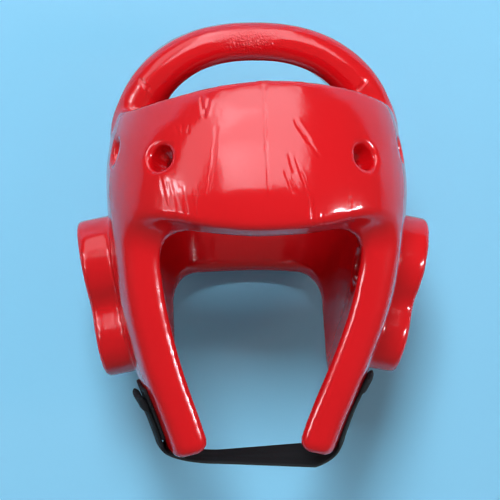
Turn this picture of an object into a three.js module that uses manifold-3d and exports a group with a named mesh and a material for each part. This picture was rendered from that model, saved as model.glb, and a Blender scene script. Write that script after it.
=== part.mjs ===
// Dipped-foam head guard for kickboxing, lying on the back of its shell.
//
// Frame, in millimetres: +X across the head, +Y up the head from chin to crown,
// +Z from the back of the head to the face. The back of the shell rests flat on Z = 0,
// and Y = 0 is the level of the brow edge.
//
// The shell is one padded wall that wraps the head: forehead, temples, jaw flaps and back.
// It follows a head form given by a short table of level sections, and it ends in half-round
// edges at the face opening, the neck opening and the two crown openings. A foam bar crosses
// the crown from ear to ear, a two-lobed pad covers each ear, and an elastic strap with a
// hook patch goes under the chin.
import * as THREE from 'three';
import { mergeVertices } from 'three/addons/utils/BufferGeometryUtils.js';
import Module from 'manifold-3d';

const wasm = await Module();
wasm.setup();
const { clamp, degToRad, lerp, smoothstep } = THREE.MathUtils;

// Foam wall
const WALL = 22; // thickness of the foam wall
const EDGE_ROUND = 10.5; // radius of the wall's dipped edges
const SEAT_GAP = 0.3; // clearance between pieces that touch
const MID_DEPTH = 118; // depth of the widest place, between the back of the head and the brow

// Head form, one row for each level above the brow edge: half width, depth of the front and of the
// back on the centre line, and how square the front half of the section is (2 is an ellipse)
const HEAD_SECTIONS = [
  { level: -176, halfWidth: 51, front: 232, back: 46, squareness: 2.25 },
  { level: -156, halfWidth: 60.5, front: 234, back: 36, squareness: 2.25 },
  { level: -130, halfWidth: 70, front: 236, back: 22, squareness: 2.3 },
  { level: -88, halfWidth: 84.5, front: 236, back: 4, squareness: 2.65 },
  { level: -44, halfWidth: 94, front: 236, back: -5, squareness: 3.0 },
  { level: 0, halfWidth: 98.5, front: 237, back: -6, squareness: 3.0 },
  { level: 30, halfWidth: 99, front: 233, back: -4, squareness: 2.8 },
  { level: 64, halfWidth: 92, front: 219, back: 8, squareness: 2.6 },
  { level: 90, halfWidth: 79, front: 197, back: 28, squareness: 2.5 },
  { level: 112, halfWidth: 60, front: 170, back: 54, squareness: 2.4 },
];
const BACK_SQUARENESS = 2.6;

// Edges of the wall, as levels and depths
const RIM = { front: 85, side: 58, back: 60, halfWidth: 95 }; // top edge
const BROW = { dip: 5, halfWidth: 50, slant: 0.4 }; // lowest on the centre line, and inside the wall
const FACE = { depth: 202, corner: 22, slant: 1 }; // where the cheek arms end, and corners
const JAW = { level: -150, tipRound: 20 }; // bottom of the jaw flaps, and the chin tips' corners
const NECK = { level: -64, halfWidth: 59, flare: 0.05, corner: 20 }; // neck opening at the back

// The soft jaw leans to the left as it lies: how far, and over which levels and depths it grows
const LEAN = { shift: -4.5, fromLevel: 0, toLevel: -140, fromDepth: 60, toDepth: 200 };

// The front of the rim slopes down to the left: how steeply, how far out, and where the slope grows
const SKEW = { slope: 0.045, halfWidth: 55, fromLevel: 50, toLevel: 80, fromDepth: 130, toDepth: 170 };

// Vents, one row for each on the right side, and the ear holes
const VENTS = [
  { depth: 213, level: 46, radius: 8.6 },
  { depth: 168, level: 45, radius: 8 },
  { depth: 146, level: 9, radius: 6 },
];
const FLARE = 2.6; // unit for the dipped mouth of a vent
const MOUTH = [ // how much wider a vent is at each depth below a face of the wall, both in flares
  { wider: 2, below: -3 },
  { wider: 1, below: 0 },
  { wider: 0.3, below: 1.2 },
  { wider: 0, below: 3 },
];
const EAR_HOLE = { depth: 112, level: -44, radius: 14 };

// Crown bar: its outer arch is a squared half ellipse, and it grows from the crown to its feet
const BAR = { depth: 112, halfSpan: 98, springLevel: 30, rise: 95.5, squareness: 2.3, footLevel: 50 };
const BAR_CROWN = { thickness: 25, width: 50 };
const BAR_FOOT = { thickness: 30, width: 64 };

// Ear pads: two rings with hollow waists between them, on a plane that leans with the jaw flap
const PAD = { level: -40, base: 82.7, height: 31.8, leanDeg: 11.5, round: 5, waist: 14 };
const PAD_RINGS = [ // depth, and place along the pad
  { depth: 112, along: 5.5, radius: 32 },
  { depth: 116, along: -43.5, radius: 28 },
];

// Chin strap of elastic on the outside of both jaw flaps, one row for each half
const STRAP = { width: 25, thickness: 2, clear: 0.5, depth: 172, turnLevel: -146, slackLevel: -158 };
const STRAP_HALVES = [ // over the hook patch or not, how far the end stands off, turn at the jaw, twist
  { side: -1, endLevel: -112, onPatch: true, endLift: 4, corner: 40, twistDeg: 1 },
  { side: 1, endLevel: -103, onPatch: false, endLift: 1.5, corner: 20, twistDeg: 23 },
];
const STRAP_END = { liftShare: 0.6, hem: 9, thickness: 4.4 }; // sewn hem
const PATCH = { side: -1, width: 27, thickness: 2, topLevel: -108, bottomLevel: -142 };
const WEB_ROUND = 0.35; // rounding of a band's edges, as a share of its thickness

// Fineness of the meshes
const WALL_GRID = { stations: 64, rows: 28, layers: 5, past: 4, pastEdge: 12 };
const STEPS = {
  bar: 24, barArc: 3, strap: 8, lobe: 18, lobeArc: 3, waist: 6, vent: 14, ear: 20, length: 2000,
};
const ANGLE_STEP = 0.01; // for slopes of the head form, in radians
const LEVEL_STEP = 1; // and in millimetres
const LEAST_SLOPE = 0.3;
const WELD = 1e-4;
const LEAST_DETAIL = 0.05; // thinner needles that the cuts leave in a mesh are merged away

// Head form

/** Smooth value of one column of HEAD_SECTIONS at a level, by Hermite steps between its rows. */
function sectionValue(column, level) {
  const rows = HEAD_SECTIONS;
  const last = rows.length - 1;
  let i = 0;
  while (i < last - 1 && level > rows[i + 1].level) i += 1;
  const slope = (k) => {
    const below = rows[Math.max(k - 1, 0)];
    const above = rows[Math.min(k + 1, last)];
    return (above[column] - below[column]) / (above.level - below.level);
  };
  const span = rows[i + 1].level - rows[i].level;
  const t = clamp((level - rows[i].level) / span, 0, 1);
  const blend = t * t * (3 - 2 * t);
  const ease = t * (1 - t) * span;
  return rows[i][column] * (1 - blend) + rows[i + 1][column] * blend
    + ease * ((1 - t) * slope(i) - t * slope(i + 1));
}

const power = (value, exponent) => Math.sign(value) * Math.abs(value) ** exponent;

/** Shape of the front or the back half of the section at a level: its depth and squareness. */
function halfSection(isFront, level) {
  return isFront
    ? { reach: sectionValue('front', level) - MID_DEPTH, squareness: sectionValue('squareness', level) }
    : { reach: MID_DEPTH - sectionValue('back', level), squareness: BACK_SQUARENESS };
}

/** Point of the head form at an angle round the head (0 is the face) and a level. */
function formPoint(angle, level) {
  const { reach, squareness } = halfSection(Math.cos(angle) >= 0, level);
  return new THREE.Vector3(
    sectionValue('halfWidth', level) * power(Math.sin(angle), 2 / squareness),
    level,
    MID_DEPTH + reach * power(Math.cos(angle), 2 / squareness),
  );
}

/** Outward normal of the head form. */
function formNormal(angle, level) {
  const around = formPoint(angle + ANGLE_STEP, level).sub(formPoint(angle - ANGLE_STEP, level));
  const up = formPoint(angle, level + LEVEL_STEP).sub(formPoint(angle, level - LEVEL_STEP));
  return around.cross(up).normalize();
}

/** Point at a depth under the head form's surface. */
function wallPoint(angle, level, inward) {
  return formPoint(angle, level).addScaledVector(formNormal(angle, level), -inward);
}

/** Angle round the head of the right-hand wall at a depth and a level. */
function formAngle(depth, level) {
  const ahead = depth - MID_DEPTH;
  const { reach, squareness } = halfSection(ahead >= 0, level);
  return Math.acos(power(ahead / reach, squareness / 2));
}

/** Angles of equally long steps round the head at brow level, closed by a full turn. */
function evenAngles(count) {
  const turn = (i) => (2 * Math.PI * i) / STEPS.length;
  const lengths = [0];
  for (let i = 1; i <= STEPS.length; i += 1) {
    lengths.push(lengths[i - 1] + formPoint(turn(i), 0).distanceTo(formPoint(turn(i - 1), 0)));
  }
  const angles = [];
  let j = 0;
  for (let i = 0; i < count; i += 1) {
    const wanted = (lengths[STEPS.length] * i) / count;
    while (lengths[j + 1] < wanted) j += 1;
    angles.push(turn(j + (wanted - lengths[j]) / (lengths[j + 1] - lengths[j])));
  }
  return [...angles, 2 * Math.PI];
}

// Outline of the wall

/** Where two cuts meet in the foam, the inside corner is rounded. Positive inside both cuts. */
function cutCorner(a, b, radius) {
  if (a > radius || b > radius) return Math.min(a, b);
  return radius - Math.hypot(radius - a, radius - b);
}

/** Where two edges meet, the outside corner is rounded. Negative inside both. */
function edgeCorner(a, b, radius) {
  if (a < -radius || b < -radius) return Math.max(a, b);
  return Math.hypot(a + radius, b + radius) - radius;
}

/**
 * Rough distance of a point in the middle of the wall from the wall's outline, negative on the foam.
 * The edges slant through the wall, so it changes for a layer that lies further in and further back.
 */
function outline({ x, y: level, z: depth }, inward, behind) {
  const across = Math.abs(x);
  const rimMiddle = depth > MID_DEPTH ? RIM.front : RIM.back;
  const rim = level - lerp(rimMiddle, RIM.side, Math.min(across / RIM.halfWidth, 1) ** 2);
  const jaw = JAW.level - level;
  const browLevel = BROW.dip * Math.min(across / BROW.halfWidth, 1) ** 2 - BROW.slant * inward;
  const face = cutCorner(depth - FACE.slant * behind - FACE.depth, browLevel - level, FACE.corner);
  const neckHalf = NECK.halfWidth + NECK.flare * (NECK.level - level);
  const neckSide = Math.min(neckHalf - across, MID_DEPTH - depth);
  const neck = cutCorner(neckSide, NECK.level - level, NECK.corner);
  const flap = edgeCorner(neck, jaw, JAW.tipRound);
  return Math.max(rim, flap, edgeCorner(face, jaw, JAW.tipRound));
}

/** Distance of a layer of the wall from its outline, by the slope of the rough distance. */
function edgeDistance(angle, level, inward) {
  const behind = inward * formNormal(angle, level).z;
  const middle = (a, b) => wallPoint(a, b, WALL / 2);
  const rough = (p) => outline(p, inward, behind);
  const slope = (p, q) => (rough(q) - rough(p)) / q.distanceTo(p);
  const around = slope(middle(angle - ANGLE_STEP, level), middle(angle + ANGLE_STEP, level));
  const up = slope(middle(angle, level - LEVEL_STEP), middle(angle, level + LEVEL_STEP));
  return rough(middle(angle, level)) / Math.max(Math.hypot(around, up), LEAST_SLOPE);
}

// Solids

/** Closed solid from a three.js geometry. */
function solid(geometry) {
  geometry.deleteAttribute('normal');
  geometry.deleteAttribute('uv');
  const welded = mergeVertices(geometry, WELD);
  return new wasm.Manifold(new wasm.Mesh({
    numProp: 3,
    vertProperties: new Float32Array(welded.attributes.position.array),
    triVerts: new Uint32Array(welded.index.array),
  }));
}

/** Solid from a list of points and a list of triangles. */
function solidOf(points, triangles) {
  const geometry = new THREE.BufferGeometry().setFromPoints(points);
  geometry.setIndex(triangles);
  return solid(geometry);
}

/** Solid skinned over closed sections of equal count, with flat ends. */
function loft(sections) {
  const count = sections[0].length;
  const triangles = [];
  for (let i = 0; i < sections.length - 1; i += 1) {
    for (let j = 0; j < count; j += 1) {
      const a = i * count + j;
      const b = i * count + ((j + 1) % count);
      triangles.push(a, b, b + count, a, b + count, a + count);
    }
  }
  const last = (sections.length - 1) * count;
  for (let j = 1; j < count - 1; j += 1) {
    triangles.push(0, j + 1, j, last, last + j, last + j + 1);
  }
  return solidOf(sections.flat(), triangles);
}

/** Points of a rounded rectangle round a centre, in the plane of two directions. */
function roundedSection({ centre, wide, thick, width, thickness, radius, arcSteps }) {
  const points = [];
  const corners = [[1, 1], [-1, 1], [-1, -1], [1, -1]];
  corners.forEach(([signWide, signThick], corner) => {
    for (let i = 0; i <= arcSteps; i += 1) {
      const turn = (Math.PI / 2) * (corner + i / arcSteps);
      const u = signWide * (width / 2 - radius) + radius * Math.cos(turn);
      const v = signThick * (thickness / 2 - radius) + radius * Math.sin(turn);
      points.push(centre.clone().addScaledVector(wide, u).addScaledVector(thick, v));
    }
  });
  return points;
}

/**
 * Closed surface where a value on a grid changes sign. The first direction of the grid closes on
 * itself. Each cell that the surface passes through gets one point, at the middle of the crossings
 * on its sides, and each crossed grid line joins the points of the four cells round it.
 */
function netSolid(counts, value, place) {
  const units = [[1, 0, 0], [0, 1, 0], [0, 0, 1]];
  const plus = (a, b, sign = 1) => a.map((n, axis) => n + sign * b[axis]);
  const key = ([i, j, k]) => `${i % counts[0]},${j},${k}`;
  const corners = [];
  for (let c = 0; c < 8; c += 1) corners.push([c & 1, (c >> 1) & 1, (c >> 2) & 1]);
  const sides = [];
  for (const corner of corners) {
    for (const unit of units) {
      const other = plus(corner, unit);
      if (Math.max(...other) < 2) sides.push([corner, other]);
    }
  }

  const points = [];
  const pointOf = new Map();
  const cellPoint = (cell) => {
    if (!pointOf.has(key(cell))) {
      const sum = new THREE.Vector3();
      let crossings = 0;
      for (const [a, b] of sides) {
        const [from, to] = [value(...plus(cell, a)), value(...plus(cell, b))];
        if (from < 0 === to < 0) continue;
        sum.add(new THREE.Vector3(...a).lerp(new THREE.Vector3(...b), from / (from - to)));
        crossings += 1;
      }
      pointOf.set(key(cell), points.length);
      points.push(place(...plus(cell, sum.divideScalar(crossings).toArray())));
    }
    return pointOf.get(key(cell));
  };

  const triangles = [];
  const joinCells = (here, axis, isInside) => {
    const [u, v] = [units[(axis + 1) % 3], units[(axis + 2) % 3]];
    const cells = [here, plus(here, u, -1), plus(plus(here, u, -1), v, -1), plus(here, v, -1)];
    const [p, q, r, s] = (isInside ? cells.reverse() : cells).map(cellPoint);
    const cutPR = points[p].distanceTo(points[r]) < points[q].distanceTo(points[s]);
    triangles.push(...(cutPR ? [p, q, r, p, r, s] : [p, q, s, q, r, s]));
  };
  for (let i = counts[0]; i < 2 * counts[0]; i += 1) {
    for (let j = 0; j < counts[1]; j += 1) {
      for (let k = 0; k < counts[2]; k += 1) {
        const isInside = value(i, j, k) < 0;
        units.forEach((unit, axis) => {
          const next = plus([i, j, k], unit);
          if (next[1] === counts[1] || next[2] === counts[2]) return;
          if (isInside !== value(...next) < 0) joinCells([i, j, k], axis, isInside);
        });
      }
    }
  }
  return solidOf(points, triangles);
}

/** Foam wall cut by its outline, with rounded edges, grown on all sides by a clearance. */
function wallSolid(clearance) {
  const { stations, rows, layers, past, pastEdge } = WALL_GRID;
  const angles = evenAngles(stations);
  const bottom = JAW.level - pastEdge;
  const rowStep = (RIM.front + pastEdge - bottom) / (rows - 1);
  const layerStep = (WALL + 2 * past) / (layers - 1);
  const inward = (k) => layerStep * k - past - WALL / 2; // from the middle of the wall
  const list = (length, item) => Array.from({ length }, (_, index) => item(index));
  const edges = angles.map((angle) => list(rows, (j) => list(
    layers,
    (k) => edgeDistance(angle, bottom + rowStep * j, inward(k)) + EDGE_ROUND,
  )));
  const value = (i, j, k) => {
    const face = Math.abs(inward(k)) - WALL / 2 + EDGE_ROUND;
    const edge = edges[i % stations][j][k];
    const round = Math.hypot(Math.max(face, 0), Math.max(edge, 0));
    return Math.min(Math.max(face, edge), 0) + round - EDGE_ROUND - clearance;
  };
  const place = (i, j, k) => {
    const station = Math.floor(i) % stations;
    const angle = lerp(angles[station], angles[station + 1], i - Math.floor(i));
    const point = wallPoint(angle, bottom + rowStep * j, layerStep * k - past);
    point.z = Math.max(point.z, -clearance); // the back is pressed flat where it rests
    return point;
  };
  return netSolid([stations, rows, layers], value, place);
}

/** Tool for a vent through the wall, with a flared mouth on both faces. */
function ventTool({ depth, level, radius }, side) {
  const angle = side * formAngle(depth, level);
  const inner = MOUTH.map(({ wider, below }) => [radius + wider * FLARE, below * FLARE - WALL]);
  const outer = MOUTH.map(({ wider, below }) => [radius + wider * FLARE, -below * FLARE]).reverse();
  const mouths = [...inner, ...outer];
  const profile = [[0, mouths[0][1]], ...mouths, [0, mouths[mouths.length - 1][1]]];
  const lathe = new THREE.LatheGeometry(profile.map(([r, y]) => new THREE.Vector2(r, y)), STEPS.vent);
  const axis = formNormal(angle, level);
  lathe.applyQuaternion(new THREE.Quaternion().setFromUnitVectors(new THREE.Vector3(0, 1, 0), axis));
  lathe.translate(...formPoint(angle, level).toArray());
  return solid(lathe);
}

/** Tool for the round hole through an ear pad and the wall behind it. */
function earTool(side) {
  const { depth, level, radius } = EAR_HOLE;
  const wall = formPoint(formAngle(depth, level), level);
  const rod = new THREE.CylinderGeometry(radius, radius, 4 * WALL, STEPS.ear);
  rod.rotateZ(Math.PI / 2);
  rod.translate(side * wall.x, level, depth);
  return solid(rod);
}

/** Arch over the crown, grown on all sides by a clearance. */
function barSolid(clearance) {
  const footShare = (BAR.footLevel - clearance - BAR.springLevel) / BAR.rise;
  const footTurn = Math.asin(footShare ** (BAR.squareness / 2));
  const arch = (turn) => new THREE.Vector3(
    BAR.halfSpan * power(Math.cos(turn), 2 / BAR.squareness),
    BAR.springLevel + BAR.rise * power(Math.sin(turn), 2 / BAR.squareness),
    BAR.depth,
  );
  const sections = [];
  for (let i = 0; i <= STEPS.bar; i += 1) {
    const turn = lerp(footTurn, Math.PI - footTurn, i / STEPS.bar);
    const along = arch(turn + ANGLE_STEP).sub(arch(turn - ANGLE_STEP)).normalize();
    const out = new THREE.Vector3(along.y, -along.x, 0);
    const toFoot = Math.cos(turn) ** 2;
    const thickness = lerp(BAR_CROWN.thickness, BAR_FOOT.thickness, toFoot);
    sections.push(roundedSection({
      centre: arch(turn).addScaledVector(out, -thickness / 2),
      wide: new THREE.Vector3(0, 0, 1),
      thick: out,
      width: lerp(BAR_CROWN.width, BAR_FOOT.width, toFoot) + 2 * clearance,
      thickness: thickness + 2 * clearance,
      radius: EDGE_ROUND + clearance,
      arcSteps: STEPS.barArc,
    }));
  }
  return loft(sections);
}

/** Outline of an ear pad in its own plane: two rings joined by hollow waists, drawn in by an inset. */
function padShape(side, inset) {
  const [upper, lower] = PAD_RINGS.map(({ depth, along, radius }) => ({
    middle: new THREE.Vector2(side * (PAD_RINGS[0].depth - depth), along),
    radius: radius - inset,
  }));
  const waist = PAD.waist + inset;
  const toLower = lower.middle.clone().sub(upper.middle);
  const apart = toLower.length();
  const down = toLower.normalize();
  const across = new THREE.Vector2(-down.y, down.x);
  const reach = upper.radius + waist;
  const foot = (reach ** 2 - (lower.radius + waist) ** 2 + apart ** 2) / (2 * apart);
  const offset = Math.sqrt(reach ** 2 - foot ** 2);
  const [front, rear] = [offset, -offset].map(
    (aside) => upper.middle.clone().addScaledVector(down, foot).addScaledVector(across, aside),
  );
  const heading = (from, to) => to.clone().sub(from).angle();
  const arc = (middle, radius, from, to, isHollow) => new THREE.EllipseCurve(
    middle.x, middle.y, radius, radius, heading(middle, from), heading(middle, to), isHollow,
  ).getPoints(isHollow ? STEPS.waist : STEPS.lobe).slice(1);
  return new THREE.Shape([
    ...arc(upper.middle, upper.radius, front, rear, false),
    ...arc(rear, waist, upper.middle, lower.middle, true),
    ...arc(lower.middle, lower.radius, rear, front, false),
    ...arc(front, waist, lower.middle, upper.middle, true),
  ]);
}

/** Two-lobed pad with rounded edges, which starts inside the wall. */
function padSolid(side) {
  const { level, base, height, leanDeg, round } = PAD;
  const pad = new THREE.ExtrudeGeometry(padShape(side, round), {
    depth: height - 2 * round,
    bevelThickness: round,
    bevelSize: round,
    bevelSegments: STEPS.lobeArc,
  });
  pad.translate(0, 0, round);
  pad.rotateY(side * Math.PI / 2);
  pad.rotateZ(-side * degToRad(leanDeg));
  pad.translate(side * base, level, PAD_RINGS[0].depth);
  return solid(pad);
}

// Bands on the jaw flaps

/** Place on the outside of a jaw flap at the strap's depth: point, normal and forward direction. */
function flapStation(level, side, lift) {
  const angle = formAngle(STRAP.depth, level);
  const point = wallPoint(angle, level, -lift);
  const normal = formNormal(angle, level);
  const behind = formPoint(angle + ANGLE_STEP, level);
  const forward = formPoint(angle - ANGLE_STEP, level).sub(behind).normalize();
  for (const vector of [point, normal, forward]) vector.x *= side;
  return { point, normal, forward };
}

/** Flat band of webbing along stations. */
function band(stations, width) {
  return loft(stations.map(({ point, normal, forward, thickness }) => {
    const wide = forward.clone().normalize();
    const thick = normal.clone().addScaledVector(wide, -normal.dot(wide)).normalize();
    return roundedSection({
      centre: point, wide, thick, width, thickness, radius: thickness * WEB_ROUND, arcSteps: 1,
    });
  }));
}

/** Stations of one half of the strap, from its hemmed end to the middle of the chin. */
function strapHalf({ side, endLevel, onPatch, endLift, corner, twistDeg }) {
  const lift = STRAP.thickness / 2 + (onPatch ? PATCH.thickness + 2 * SEAT_GAP : STRAP.clear);
  const flapLength = endLevel - STRAP.turnLevel;
  const stations = [];
  for (let i = 0; i <= STEPS.strap; i += 1) {
    const share = i / STEPS.strap;
    const standOff = endLift * Math.max(1 - share / STRAP_END.liftShare, 0) ** 2;
    stations.push({
      ...flapStation(endLevel - flapLength * share, side, lift + standOff),
      thickness: share * flapLength < STRAP_END.hem ? STRAP_END.thickness : STRAP.thickness,
    });
  }
  const { point: from, normal, forward } = stations[STEPS.strap];
  const down = new THREE.Vector3(0, -1, 0);
  for (let i = 1; i <= STEPS.strap; i += 1) {
    const share = i / STEPS.strap;
    const turn = (Math.PI / 2) * share;
    const twist = degToRad(twistDeg) * share;
    const level = new THREE.Vector3(0, -Math.sin(twist), Math.cos(twist));
    stations.push({
      point: new THREE.Vector3(
        from.x - side * corner * (1 - Math.cos(turn)),
        lerp(from.y, STRAP.slackLevel, Math.sin(turn)),
        from.z,
      ),
      normal: normal.clone().lerp(down, share),
      forward: forward.clone().lerp(level, share),
      thickness: STRAP.thickness,
    });
  }
  return stations;
}

/** Hook patch on a jaw flap, under the end of the strap. */
function patchSolid({ side, width, thickness, topLevel, bottomLevel }) {
  const stations = [];
  for (let i = 0; i <= STEPS.strap; i += 1) {
    const level = lerp(topLevel, bottomLevel, i / STEPS.strap);
    stations.push({ ...flapStation(level, side, SEAT_GAP + thickness / 2), thickness });
  }
  return band(stations, width);
}

// Pieces

const [left, right] = [-1, 1];
const seat = wallSolid(SEAT_GAP);
const earPads = [left, right].map((side) => padSolid(side).subtract(seat).subtract(earTool(side)));

let shell = wallSolid(0).subtract(barSolid(SEAT_GAP));
for (const side of [left, right]) {
  for (const vent of VENTS) shell = shell.subtract(ventTool(vent, side));
  shell = shell.subtract(earTool(side));
}

const [leftHalf, rightHalf] = STRAP_HALVES.map(strapHalf);
const chinStrap = band([...leftHalf, ...rightHalf.reverse()], STRAP.width);

/** Geometry of a finished solid, with the jaw's lean and the rim's slope. */
function leaningGeometry(body) {
  const mesh = body.simplify(LEAST_DETAIL).getMesh();
  const geometry = new THREE.BufferGeometry();
  const position = new THREE.BufferAttribute(mesh.vertProperties, 3);
  for (let i = 0; i < position.count; i += 1) {
    const [x, level, depth] = [position.getX(i), position.getY(i), position.getZ(i)];
    const down = smoothstep(-level, -LEAN.fromLevel, -LEAN.toLevel);
    const ahead = smoothstep(depth, LEAN.fromDepth, LEAN.toDepth);
    const up = smoothstep(level, SKEW.fromLevel, SKEW.toLevel);
    const atFront = smoothstep(depth, SKEW.fromDepth, SKEW.toDepth);
    const aside = clamp(x, -SKEW.halfWidth, SKEW.halfWidth);
    position.setX(i, x + LEAN.shift * down * ahead);
    position.setY(i, level + SKEW.slope * aside * up * atFront);
  }
  geometry.setAttribute('position', position);
  geometry.setIndex(new THREE.BufferAttribute(mesh.triVerts, 1));
  geometry.computeVertexNormals();
  return geometry;
}

const DIPPED_VINYL = { name: 'dipped_vinyl_red', color: 0xc8161c, roughness: 0.3 };
const WOVEN_ELASTIC = { name: 'woven_elastic_black', color: 0x17171a, roughness: 0.85 };
const HOOK_TAPE = { name: 'hook_tape_black', color: 0x101012, roughness: 0.9 };

const pieces = [
  { name: 'shell', body: shell, material: DIPPED_VINYL },
  { name: 'crown_bar', body: barSolid(0), material: DIPPED_VINYL },
  { name: 'ear_pad_left', body: earPads[0], material: DIPPED_VINYL },
  { name: 'ear_pad_right', body: earPads[1], material: DIPPED_VINYL },
  { name: 'chin_strap', body: chinStrap, material: WOVEN_ELASTIC },
  { name: 'hook_patch', body: patchSolid(PATCH), material: HOOK_TAPE },
];

const group = new THREE.Group();
group.name = 'head_guard';
for (const { name, body, material } of pieces) {
  const mesh = new THREE.Mesh(leaningGeometry(body), new THREE.MeshStandardMaterial(material));
  mesh.name = name;
  group.add(mesh);
}

export default group;
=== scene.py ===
# %% [markdown]
# A kickboxing head guard lies on its back, seen from above. The real one is made of foam blanks that
# are glued together and dipped in liquid vinyl, so wall, crown bar and ear pads wear one skin.
# The imported model is the fixed frame: every size below is in the same millimetres, and meshes are
# turned into metres only when they are made. The imported parts are kept, and the finished size is printed
# at the end.

# %% Load the imported model
import math

import bmesh
import bpy
import numpy as np
from mathutils import Matrix, Vector, noise


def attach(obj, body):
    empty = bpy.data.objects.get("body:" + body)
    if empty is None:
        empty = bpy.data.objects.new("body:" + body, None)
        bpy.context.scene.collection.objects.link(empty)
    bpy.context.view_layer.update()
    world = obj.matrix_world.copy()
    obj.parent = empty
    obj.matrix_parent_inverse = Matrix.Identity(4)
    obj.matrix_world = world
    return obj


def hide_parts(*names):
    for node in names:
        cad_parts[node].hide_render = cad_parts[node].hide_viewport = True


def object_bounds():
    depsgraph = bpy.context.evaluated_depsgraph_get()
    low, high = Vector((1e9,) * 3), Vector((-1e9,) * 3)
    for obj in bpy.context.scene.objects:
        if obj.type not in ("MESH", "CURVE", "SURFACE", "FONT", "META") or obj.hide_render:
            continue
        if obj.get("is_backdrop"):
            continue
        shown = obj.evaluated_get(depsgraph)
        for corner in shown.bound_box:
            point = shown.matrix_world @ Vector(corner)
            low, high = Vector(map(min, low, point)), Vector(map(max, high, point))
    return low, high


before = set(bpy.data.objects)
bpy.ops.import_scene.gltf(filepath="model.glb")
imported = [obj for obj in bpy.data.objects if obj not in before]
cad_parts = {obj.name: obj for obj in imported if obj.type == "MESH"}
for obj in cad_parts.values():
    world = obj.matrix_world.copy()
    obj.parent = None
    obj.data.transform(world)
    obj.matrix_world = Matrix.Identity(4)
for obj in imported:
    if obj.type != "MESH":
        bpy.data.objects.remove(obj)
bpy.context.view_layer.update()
MM = 0.001
print("packed nodes:", ", ".join(sorted(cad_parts)))

# %% [markdown]
# Colours are written as the sRGB hex values that a colour picker shows, and shaders want linear
# light, so one function turns one into the other. A second small function adds a shader node with
# its settings and its links, which keeps every material below short enough to read.

# %% Colours and shader nodes
FULL_BYTE = 255
SRGB = {"knee": 0.04045, "slope": 12.92, "offset": 0.055, "power": 2.4}  # the standard's own curve


def linear(hex_colour):
    """Linear RGBA of an sRGB hex colour."""
    colour = []
    for i in (1, 3, 5):
        share = int(hex_colour[i:i + 2], 16) / FULL_BYTE
        curve = ((share + SRGB["offset"]) / (1 + SRGB["offset"])) ** SRGB["power"]
        colour.append(share / SRGB["slope"] if share <= SRGB["knee"] else curve)
    return colour + [1.0]


def add_node(tree, kind, settings=None, inputs=None):
    """Node of a kind, with its settings, and inputs that are values or other nodes' outputs."""
    node = tree.nodes.new(kind)
    for name, value in (settings or {}).items():
        setattr(node, name, value)
    for name, value in (inputs or {}).items():
        if isinstance(value, bpy.types.NodeSocket):
            tree.links.new(value, node.inputs[name])
        else:
            node.inputs[name].default_value = value
    return node


def new_material(name):
    """Empty material, its node tree and its shader."""
    material = bpy.data.materials.new(name)
    material.use_nodes = True
    tree = material.node_tree
    return material, tree, tree.nodes["Principled BSDF"]


print("linear value of mid grey:", round(linear("#808080")[0], 3))

# %% [markdown]
# The foam wall follows a head form: a table of level sections, each a squared ellipse. A learner
# might sculpt such a form by hand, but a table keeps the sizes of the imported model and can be
# measured. A smooth curve through each column is read off a finely stepped list.

# %% Head form
WALL = 22.0
MID_DEPTH = 118.0  # where the front and the back half of a section meet
BACK_SQUARENESS = 2.6
SECTION_COLUMNS = ("level", "half_width", "front", "back", "squareness")
HEAD_SECTIONS = np.array([
    (-176, 51, 232, 46, 2.25),
    (-156, 60.5, 234, 36, 2.25),
    (-130, 70, 236, 22, 2.3),
    (-88, 84.5, 236, 4, 2.65),
    (-44, 94, 236, -5, 3.0),
    (0, 98.5, 237, -6, 3.0),
    (30, 99, 233, -4, 2.8),
    (64, 92, 219, 8, 2.6),
    (90, 79, 197, 28, 2.5),
    (112, 60, 170, 54, 2.4),
])
FINE_STEP = 0.5
fine_levels = np.arange(HEAD_SECTIONS[0, 0], HEAD_SECTIONS[-1, 0] + FINE_STEP, FINE_STEP)


def hermite_column(column):
    """Smooth curve through one column of the table, at every fine level."""
    levels, values = HEAD_SECTIONS[:, 0], HEAD_SECTIONS[:, column]
    last = len(levels) - 1
    below = np.maximum(np.arange(last + 1) - 1, 0)
    above = np.minimum(np.arange(last + 1) + 1, last)
    slopes = (values[above] - values[below]) / (levels[above] - levels[below])
    i = np.clip(np.searchsorted(levels, fine_levels, side="right") - 1, 0, last - 1)
    span = levels[i + 1] - levels[i]
    t = np.clip((fine_levels - levels[i]) / span, 0, 1)
    blend = t * t * (3 - 2 * t)
    ease = t * (1 - t) * span
    through_values = values[i] * (1 - blend) + values[i + 1] * blend
    return through_values + ease * ((1 - t) * slopes[i] - t * slopes[i + 1])


section_curves = {name: hermite_column(i) for i, name in enumerate(SECTION_COLUMNS) if i}


def section(name, level):
    """Value of one column of the table at any level."""
    return np.interp(level, fine_levels, section_curves[name])


def half_section(depth, level):
    """Reach from the middle depth and squareness of the half of the section that a depth is in."""
    front = depth > MID_DEPTH
    reach = np.where(front, section("front", level) - MID_DEPTH, MID_DEPTH - section("back", level))
    return reach, np.where(front, section("squareness", level), BACK_SQUARENESS)


print("shell half width at the brow:", float(section("half_width", 0.0)), "mm")

# %% [markdown]
# A surface that blends into another is easiest to make as a distance field: a function that gives,
# for any point, how far it is outside the foam. The skin is where that function is zero. Two fields
# are joined by their smaller value and cut by their larger one. Rounded versions of both leave the
# soft edges and the fillets that liquid vinyl leaves, which bevels on a finished mesh seldom do well.

# %% Joining and rounding fields
EXAMPLE_BLEND = 4.0


def smooth_step(value, low, high):
    """0 below one value, 1 above another, smooth between."""
    t = np.clip((value - low) / (high - low), 0, 1)
    return t * t * (3 - 2 * t)


def smooth_union(a, b, blend):
    """Smaller of two fields, with a fillet about as wide as the blend."""
    share = np.clip(0.5 + 0.5 * (b - a) / blend, 0, 1)
    return b + (a - b) * share - blend * share * (1 - share)


def smooth_cut(a, b, blend):
    """First field with the second cut out of it, and the edge of the cut rounded."""
    return -smooth_union(-a, b, blend)


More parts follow.
